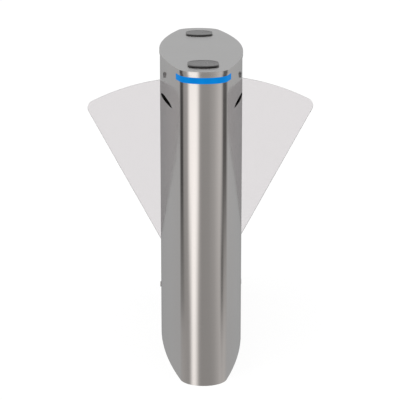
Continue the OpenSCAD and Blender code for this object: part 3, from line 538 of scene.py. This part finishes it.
windowFinish = {
    **coatFinish, "colour": (0.002, 0.002, 0.002), "second": (0.003, 0.003, 0.003), "roughness": 0.5,
    "cloudRough": 0.0, "dust": 0.0, "bump": 0.02, "constants": {"IOR": 1.01}}
terminalFinish = {
    **coatFinish, "colour": (0.52, 0.50, 0.42), "second": (0.48, 0.45, 0.37), "roughness": 0.5, "dust": 0.2}
plugFinish = {**terminalFinish, "colour": (0.62, 0.60, 0.53), "second": (0.58, 0.56, 0.49)}
clearFinish = {
    "face": (0.775, 0.752, 0.760), "edge": (0.96, 0.96, 0.97), "flatFrom": (0.5, 0.9), "ior": 1.49,
    "cloudSize": 4.0, "cloudRough": 0.02, "cutRough": 0.6}
cutFinish = {
    **coatFinish, "colour": (0.60, 0.595, 0.60), "second": (0.55, 0.545, 0.55), "roughness": 0.32,
    "cloudRough": 0.08, "dust": 0.0, "bump": 0.1, "depth": 0.00008}
lensFinish = {
    **coatFinish, "colour": (0.50, 0.50, 0.51), "second": (0.42, 0.42, 0.43), "roughness": 0.2,
    "dust": 0.0, "cloudRough": 0.02, "bump": 0.0, "cloudSize": 400.0}
darkLensFinish = {**lensFinish, "colour": (0.20, 0.20, 0.21), "second": (0.16, 0.16, 0.17)}
lightFinish = {
    "unlit": (0.0, 0.004, 0.01), "roughness": 0.5, "ior": 1.08, "low": (0.002, 0.204, 0.635),
    "high": (0.003, 0.226, 0.675), "strength": 1.0, "ripples": 90.0, "rippleShare": 0.6,
    "cloudSize": 30.0, "cloudDetail": 2.0, "cloudShare": 0.4}
boardFinish = {
    "colour": (0.014, 0.13, 0.05), "track": (0.03, 0.21, 0.09), "pad": (0.6, 0.55, 0.4), "roughness": 0.4,
    "flatten": (1.0, 0.02, 1.0), "trackScale": 60.0, "trackWidth": 0.02, "padScale": 130.0,
    "padSpan": (0.05, 0.12), "bump": 0.2, "depth": 0.0001}

materials = {
    "stainless": cabinetSteel("brushedStainless", steelFinish, innerFinish),
    "lid_steel": lidSteel("brushedLid", lidFinish, steelFinish),
    "machined_steel": brushedSteel("turnedSteel", turnedFinish),
    "clear_acrylic": clearSheet("clearSheet", clearFinish),
    "light_blue": litDiffuser("blueDiffuser", lightFinish),
    "black_window": coatedMetal("blackWindow", windowFinish),
    "reader_plastic": coatedMetal("readerPlastic", padFinish),
    "painted_steel": coatedMetal("greyPowderCoat", coatFinish),
    "zinc_steel": coatedMetal("zincPlate", zincFinish),
    "cast_aluminium": coatedMetal("castAluminium", castFinish),
    "gear_brass": coatedMetal("gearBronze", brassFinish),
    "sensor_body": coatedMetal("nickelBrass", sensorFinish),
    "motor_black": coatedMetal("blackEnamel", enamelFinish),
    "rubber": coatedMetal("blackRubber", rubberFinish),
    "grey_plastic": coatedMetal("greyNylon", nylonFinish),
    "terminal_plastic": coatedMetal("terminalPlastic", terminalFinish),
    "board": circuitBoard("greenBoard", boardFinish),
}
collarSteel = coatedMetal("dullCollar", collarFinish)
lockEnamel = coatedMetal("lockEnamel", lockFinish)
slotOf = {part["node"]: part["material_slot"] for part in frame["record"]["subparts"]}
bodyOf = {node: body for body, members in frame["record"]["behaviour"]["bodies"].items() for node in members}


def coverWith(thing, material):
    if not thing.material_slots:
        thing.data.materials.append(material)
    for entry in thing.material_slots:
        entry.material = material


for nodeName, thing in nodes.items():
    coverWith(thing, materials[slotOf[nodeName]])
print("finishes on every node:", len(materials))

hair = 0.0001  # metres, the slack where edges and faces are picked by place
square = 0.99  # how much of a face's normal lies along an axis that it looks along
rounding = {"steps": 2, "sharp": 35}  # degrees at which an edge is rounded, and shaded as an edge
merging = {"distance": 0.00001, "flat": 0.3}  # metres, and degrees between faces that become one


def deselectAll():
    bpy.ops.object.select_all(action="DESELECT")


def pickOnly(piece):
    deselectAll()
    piece.select_set(True)
    bpy.context.view_layer.objects.active = piece


def applyPlace():
    bpy.ops.object.transform_apply(location=True, rotation=True, scale=True)


def applyModifier(piece, kind, **settings):
    modifier = piece.modifiers.new(kind.lower(), kind)
    for label, value in settings.items():
        setattr(modifier, label, value)
    bpy.ops.object.modifier_apply(modifier=modifier.name)


def smoothOver(piece):
    bpy.ops.object.shade_smooth_by_angle(angle=math.radians(rounding["sharp"]))
    applyModifier(piece, "WEIGHTED_NORMAL", keep_sharp=True)


# edit mode with all of the piece selected
def editAll():
    bpy.ops.object.mode_set(mode="EDIT")
    bpy.ops.mesh.select_all(action="SELECT")


def leaveEdit():
    bpy.ops.object.mode_set(mode="OBJECT")


# clears the choice of faces or edges, so that the next lines can make a new one
def startPick(kind):
    bpy.ops.object.mode_set(mode="EDIT")
    bpy.ops.mesh.select_mode(type=kind)
    bpy.ops.mesh.select_all(action="DESELECT")
    leaveEdit()


def pickFaces(piece, test):
    startPick("FACE")
    for face in piece.data.polygons:
        face.select = test(face.center, face.normal)
    bpy.ops.object.mode_set(mode="EDIT")


def pickEdges(piece, test):
    startPick("EDGE")
    points = piece.data.vertices
    for edge in piece.data.edges:
        edge.select = test(*(points[index].co for index in edge.vertices))
    bpy.ops.object.mode_set(mode="EDIT")


def bevelPicked(width, segments):
    bpy.ops.mesh.bevel(offset=width, segments=segments)
    leaveEdit()


def extrudePicked(along):
    bpy.ops.mesh.extrude_region_move(TRANSFORM_OT_translate={"value": along})


def settle(piece, body, finish):
    applyPlace()
    coverWith(piece, finish)
    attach(piece, body)


# a copy of a CAD node with its triangles joined up
def joinedCopy(nodeName, pieceName):
    pickOnly(nodes[nodeName])
    bpy.ops.object.duplicate()
    piece = bpy.context.object
    piece.name = pieceName
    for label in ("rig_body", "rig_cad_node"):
        del piece[label]
    bpy.ops.object.parent_clear(type="CLEAR_KEEP_TRANSFORM")
    bpy.ops.mesh.customdata_custom_splitnormals_clear()
    editAll()
    bpy.ops.mesh.remove_doubles(threshold=merging["distance"])
    leaveEdit()
    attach(piece, bodyOf[nodeName])
    return piece


# such a copy with flat faces merged and its edges rounded, which stands for the node
def roundedCopy(nodeName, pieceName, width):
    piece = joinedCopy(nodeName, pieceName)
    editAll()
    bpy.ops.mesh.dissolve_limited(angle_limit=math.radians(merging["flat"]))
    leaveEdit()
    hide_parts(nodeName)
    applyModifier(piece, "BEVEL", width=width, segments=rounding["steps"], limit_method="ANGLE",
                  angle_limit=math.radians(rounding["sharp"]), use_clamp_overlap=True,
                  miter_outer="MITER_ARC")
    smoothOver(piece)


# each node's copy, and the width of its rounded edges
roundings = {
    "lid": ("lidCover", 0.0006),
    "base_plate": ("basePlate", 0.0008),
    "front_core_plate": ("frontCorePlate", 0.0005),
    "rear_core_plate": ("rearCorePlate", 0.0005),
    "core_tie_bars": ("tieBars", 0.0004),
    "left_drive_bracket": ("leftDriveBracket", 0.0005),
    "right_drive_bracket": ("rightDriveBracket", 0.0005),
    "left_gearbox": ("leftGearbox", 0.0008),
    "right_gearbox": ("rightGearbox", 0.0008),
    "left_motor": ("leftMotor", 0.0008),
    "right_motor": ("rightMotor", 0.0008),
    "front_rack": ("frontRack", 0.0003),
    "rear_rack": ("rearRack", 0.0003),
    "terminal_block": ("terminalBlock", 0.0003),
    "backup_battery": ("backupBattery", 0.0012),
    "slot_guides": ("slotGuides", 0.0005),
    "lid_catches": ("lidCatches", 0.0004),
    "left_flap_arm": ("leftFlapArm", 0.001),
    "right_flap_arm": ("rightFlapArm", 0.001),
    "left_clamp_plate": ("leftClampPlate", 0.0008),
    "right_clamp_plate": ("rightClampPlate", 0.0008),
    "left_flap_panel": ("leftFlapSheet", 0.0008),
    "right_flap_panel": ("rightFlapSheet", 0.0008),
    "front_light_band": ("frontDiffuser", 0.0004),
    "rear_light_band": ("rearDiffuser", 0.0004),
    "lid_lock_housings": ("lidLockCollars", 0.0004),
    "left_hatch_lock_housing": ("leftHatchCollar", 0.0004),
    "right_hatch_lock_housing": ("rightHatchCollar", 0.0004),
}
for nodeName, (pieceName, width) in roundings.items():
    roundedCopy(nodeName, pieceName, width)
print("rounded pieces made:", len(roundings))

# the narrow cut faces round each flap are ground matt
flapCuts = {"sheets": ("leftFlapSheet", "rightFlapSheet"), "facing": 0.6}
cutAcrylic = coatedMetal("cutAcrylic", cutFinish)
for pieceName in flapCuts["sheets"]:
    sheet = bpy.data.objects[pieceName]
    sheet.data.materials.append(cutAcrylic)
    for face in sheet.data.polygons:
        face.material_index = int(abs(face.normal.y) < flapCuts["facing"])
print("flap edges ground")

# reader pads: rolled rim over a foot that is set in, a hollow neck through the lid,
# a sunk panel in the top and a small lamp on the panel
readerPads = {
    "frontReader": {"node": "front_reader_pad", "y": -0.445, "lens": "pale"},
    "rearReader": {"node": "rear_reader_pad", "y": 0.392, "lens": "dark"},
}
readerShape = {
    "wide": 0.098, "long": 0.150, "corner": 0.047, "cornerSteps": 16, "top": 1.0065, "rim": 0.0035,
    "roll": 0.003, "rollSteps": 5, "undercut": 0.0035, "footHigh": 0.003, "neckIn": 0.0046,
    "neckHigh": 0.010, "wall": 0.003, "hollow": 0.0135}
readerPanel = {"border": 0.0055, "slope": 0.0007, "sunk": 0.0005}
readerLamp = {
    "x": 0.013, "radius": 0.0022, "sides": 24, "high": 0.0008, "lift": -0.0002, "crown": 0.0006,
    "rises": (0.00015, 0.00008), "smooth": 50}
lensFinishes = {
    "pale": coatedMetal("paleLens", lensFinish),
    "dark": coatedMetal("darkLens", darkLensFinish),
}


def slabAt(pieceName, size, middle):
    deselectAll()
    bpy.ops.mesh.primitive_cube_add(size=1, location=middle)
    slab = bpy.context.object
    slab.name = pieceName
    slab.scale = size
    applyPlace()
    return slab


def makeReader(pieceName, reader):
    shape = readerShape
    middle = (0, reader["y"], shape["top"] - shape["rim"] / 2)
    pad = slabAt(pieceName, (shape["wide"], shape["long"], shape["rim"]), middle)
    pickEdges(pad, lambda one, two: abs(one.z - two.z) > hair)
    bevelPicked(shape["corner"], shape["cornerSteps"])
    pickEdges(pad, lambda one, two: min(one.z, two.z) > shape["top"] - hair)
    bevelPicked(shape["roll"], shape["rollSteps"])
    pickFaces(pad, lambda centre, normal: normal.z < -square)
    bpy.ops.mesh.inset(thickness=shape["undercut"], depth=shape["footHigh"])
    bpy.ops.mesh.inset(thickness=shape["neckIn"])
    extrudePicked((0, 0, -shape["neckHigh"]))
    bpy.ops.mesh.inset(thickness=shape["wall"])
    extrudePicked((0, 0, shape["hollow"]))
    leaveEdit()
    pickFaces(pad, lambda centre, normal: normal.z > square and centre.z > shape["top"] - hair)
    bpy.ops.mesh.inset(thickness=readerPanel["border"])
    bpy.ops.mesh.inset(thickness=readerPanel["slope"], depth=-readerPanel["sunk"])
    leaveEdit()
    smoothOver(pad)
    settle(pad, "lid", materials["reader_plastic"])
    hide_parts(reader["node"])


def makeReaderLamp(pieceName, reader):
    deselectAll()
    middle = (readerLamp["x"], reader["y"], readerShape["top"] - readerPanel["sunk"] + readerLamp["lift"])
    bpy.ops.mesh.primitive_cylinder_add(vertices=readerLamp["sides"], radius=readerLamp["radius"],
                                        depth=readerLamp["high"], location=middle)
    lamp = bpy.context.object
    lamp.name = pieceName
    pickFaces(lamp, lambda centre, normal: normal.z > square)
    for rise in readerLamp["rises"]:
        bpy.ops.mesh.inset(thickness=readerLamp["crown"], depth=rise)
    leaveEdit()
    bpy.ops.object.shade_smooth_by_angle(angle=math.radians(readerLamp["smooth"]))
    settle(lamp, "lid", lensFinishes[reader["lens"]])


for pieceName, reader in readerPads.items():
    makeReader(pieceName, reader)
    makeReaderLamp(pieceName + "Lamp", reader)
print("reader pads made")

# plan arc of a side wall: its radius, and how far its middle is beyond the cabinet's
sideWall = {"radius": 2.253125, "centre": 2.113125}


# turns what was made at the origin, +X outwards, to its place on a side wall
def placeOnWall(piece, side, y, z):
    out = math.sqrt(sideWall["radius"] ** 2 - y * y) - sideWall["centre"]
    turn = math.asin(y / sideWall["radius"])
    piece.location = (side * out, y, z)
    piece.rotation_euler = (0, 0, turn if side > 0 else math.pi - turn)


# dark plates on the collars of the lid locks, wide at the top and narrow at the foot,
# round the barrel
lockPlate = {
    "y": 0.290, "z": 0.948, "radius": 0.013, "wide": 1.16, "lift": 0.0005, "from": 0.0030, "thick": 0.0010,
    "corner": 0.0045, "cornerSteps": 6, "edge": 0.0003, "edgeSteps": 2, "bore": 0.0063, "boreSides": 48,
    "boreLong": 0.02}
lockPlaces = {  # 1 is the right side, and the rear half
    "rightFrontPlate": (1, -1),
    "rightRearPlate": (1, 1),
    "leftFrontPlate": (-1, -1),
    "leftRearPlate": (-1, 1),
}
footDown = Matrix(((0, 0, 1), (-1, 0, 0), (0, -1, 0))).to_euler()  # faces +X, one corner down


def makeLockPlate(pieceName, side, way):
    deselectAll()
    middle = lockPlate["from"] + lockPlate["thick"] / 2
    bpy.ops.mesh.primitive_cylinder_add(vertices=3, radius=lockPlate["radius"], depth=lockPlate["thick"],
                                        rotation=footDown)
    plate = bpy.context.object
    plate.name = pieceName
    plate.location = (middle, 0, lockPlate["lift"])
    applyPlace()
    editAll()
    bpy.ops.transform.resize(value=(1, lockPlate["wide"], 1))
    leaveEdit()
    pickEdges(plate, lambda one, two: abs(one.x - two.x) > hair)
    bevelPicked(lockPlate["corner"], lockPlate["cornerSteps"])
    pickEdges(plate, lambda one, two: min(one.x, two.x) > middle)
    bevelPicked(lockPlate["edge"], lockPlate["edgeSteps"])
    deselectAll()
    bpy.ops.mesh.primitive_cylinder_add(vertices=lockPlate["boreSides"], radius=lockPlate["bore"],
                                        depth=lockPlate["boreLong"], rotation=(0, math.pi / 2, 0))
    bore = bpy.context.object
    pickOnly(plate)
    applyModifier(plate, "BOOLEAN", object=bore, operation="DIFFERENCE")
    bpy.data.objects.remove(bore)
    smoothOver(plate)
    placeOnWall(plate, side, way * lockPlate["y"], lockPlate["z"])
    settle(plate, "cabinet", lockEnamel)


for pieceName, (side, way) in lockPlaces.items():
    makeLockPlate(pieceName, side, way)
for side in ("left", "right"):
    for end in ("front", "rear"):
        coverWith(nodes[f"{side}_{end}_lid_lock"], lockEnamel)
    coverWith(nodes[f"{side}_hatch_lock"], materials["motor_black"])
coverWith(bpy.data.objects["lidLockCollars"], collarSteel)
print("lock plates made")

# thin black covers on the sensor windows, a little taller than the openings
windowCover = {"middle": 0.870, "taller": 1.21, "thick": 0.0005, "skin": 0.0005, "facing": 0.9}


def onOuterFace(centre, normal):
    depth = sideWall["radius"] - math.hypot(abs(centre.x) + sideWall["centre"], centre.y)
    return depth < windowCover["skin"] and abs(normal.x) > windowCover["facing"]


def makeWindowCovers():
    covers = joinedCopy("sensor_windows", "windowCovers")
    pickFaces(covers, lambda centre, normal: not onOuterFace(centre, normal))
    bpy.ops.mesh.delete(type="FACE")
    bpy.ops.mesh.select_all(action="SELECT")
    bpy.ops.transform.resize(value=(1, 1, windowCover["taller"]),
                             center_override=(0, 0, windowCover["middle"]))
    leaveEdit()
    applyModifier(covers, "SOLIDIFY", thickness=windowCover["thick"], offset=1)
    smoothOver(covers)
    coverWith(covers, materials["black_window"])


makeWindowCovers()
print("window covers made")

# parts on the control board, all on its side towards the cabinet's front end
controlBoard = {
    "half": 0.075, "low": 0.515, "high": 0.695, "back": -0.1625, "rack": -0.1525, "sheet": 0.0016,
    "corner": 0.003, "cornerSteps": 4, "post": 0.004, "postSides": 6, "postIn": 0.009, "postHead": 0.0006,
    "partsIn": 0.0002}  # how far the parts stand in the board
boardRows = {
    "boardRelays": {
        "count": 4, "pitch": 0.030, "size": (0.022, 0.016, 0.020), "z": 0.550, "edge": 0.001,
        "finish": "relay"},
    "boardPlugs": {
        "count": 6, "pitch": 0.0225, "size": (0.018, 0.010, 0.014), "z": 0.684, "edge": 0.0004,
        "finish": "plug", "wall": 0.0016, "hollow": 0.007},
    "boardChip": {
        "count": 1, "pitch": 0.0, "size": (0.040, 0.003, 0.040), "z": 0.610, "edge": 0.0006,
        "finish": "chip", "wall": 0.004, "hollow": 0.0006},
}
boardCaps = {
    "x": 0.045, "low": 0.585, "pitch": 0.024, "count": 3, "radius": 0.008, "sides": 32, "high": 0.022,
    "edge": 0.0012, "edgeSteps": 3, "rim": 0.0014, "sunk": 0.0004}
boardFinishes = {
    "relay": coatedMetal("relayBlue", relayFinish),
    "plug": coatedMetal("plugCream", plugFinish),
    "chip": coatedMetal("chipBlack", chipFinish),
    "cap": coatedMetal("capacitorSleeve", sleeveFinish),
}


# copies of a piece at each offset, joined into it
def repeatAt(piece, offsets):
    made = [piece]
    for offset in offsets:
        pickOnly(piece)
        bpy.ops.object.duplicate()
        copy = bpy.context.object
        copy.location = offset
        applyPlace()
        made.append(copy)
    pickOnly(piece)
    for thing in made:
        thing.select_set(True)
    if offsets:
        bpy.ops.object.join()


def makeBoardRow(pieceName, row):
    deep = row["size"][1]
    front = controlBoard["back"] - controlBoard["sheet"] + controlBoard["partsIn"] - deep
    first = -(row["count"] - 1) / 2 * row["pitch"]
    block = slabAt(pieceName, row["size"], (first, front + deep / 2, row["z"]))
    if "hollow" in row:
        pickFaces(block, lambda centre, normal: normal.y < -square)
        bpy.ops.mesh.inset(thickness=row["wall"])
        extrudePicked((0, row["hollow"], 0))
        leaveEdit()
    applyModifier(block, "BEVEL", width=row["edge"], segments=rounding["steps"], limit_method="ANGLE")
    smoothOver(block)
    repeatAt(block, [(step * row["pitch"], 0, 0) for step in range(1, row["count"])])
    settle(block, "cabinet", boardFinishes[row["finish"]])


def makeCapacitors(pieceName):
    caps = boardCaps
    middle = controlBoard["back"] - controlBoard["sheet"] + controlBoard["partsIn"] - caps["high"] / 2
    deselectAll()
    bpy.ops.mesh.primitive_cylinder_add(vertices=caps["sides"], radius=caps["radius"], depth=caps["high"],
                                        location=(caps["x"], middle, caps["low"]),
                                        rotation=(math.pi / 2, 0, 0))
    can = bpy.context.object
    can.name = pieceName
    applyPlace()
    applyModifier(can, "BEVEL", width=caps["edge"], segments=caps["edgeSteps"], limit_method="ANGLE")
    pickFaces(can, lambda centre, normal: normal.y < -square)
    bpy.ops.mesh.inset(thickness=caps["rim"], depth=-caps["sunk"])
    leaveEdit()
    smoothOver(can)
    repeatAt(can, [(0, 0, step * caps["pitch"]) for step in range(1, caps["count"])])
    settle(can, "cabinet", boardFinishes["cap"])


def makeBoardPlate(pieceName):
    board = controlBoard
    middle = (0, board["back"] - board["sheet"] / 2, (board["low"] + board["high"]) / 2)
    plate = slabAt(pieceName, (2 * board["half"], board["sheet"], board["high"] - board["low"]), middle)
    pickEdges(plate, lambda one, two: abs(one.y - two.y) > hair)
    bevelPicked(board["corner"], board["cornerSteps"])
    head = board["back"] - board["sheet"] - board["postHead"]
    for x in (-1, 1):
        for z in (board["low"] + board["postIn"], board["high"] - board["postIn"]):
            place = (x * (board["half"] - board["postIn"]), (head + board["rack"]) / 2, z)
            bpy.ops.mesh.primitive_cylinder_add(vertices=board["postSides"], radius=board["post"],
                                                depth=board["rack"] - head, location=place,
                                                rotation=(math.pi / 2, 0, 0))
            plate.select_set(True)
            bpy.context.view_layer.objects.active = plate
            bpy.ops.object.join()
    smoothOver(plate)
    settle(plate, "cabinet", materials["board"])
    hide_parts("control_board")


makeBoardPlate("boardPlate")
for pieceName, row in boardRows.items():
    makeBoardRow(pieceName, row)
makeCapacitors("boardCapacitors")
print("control board made")
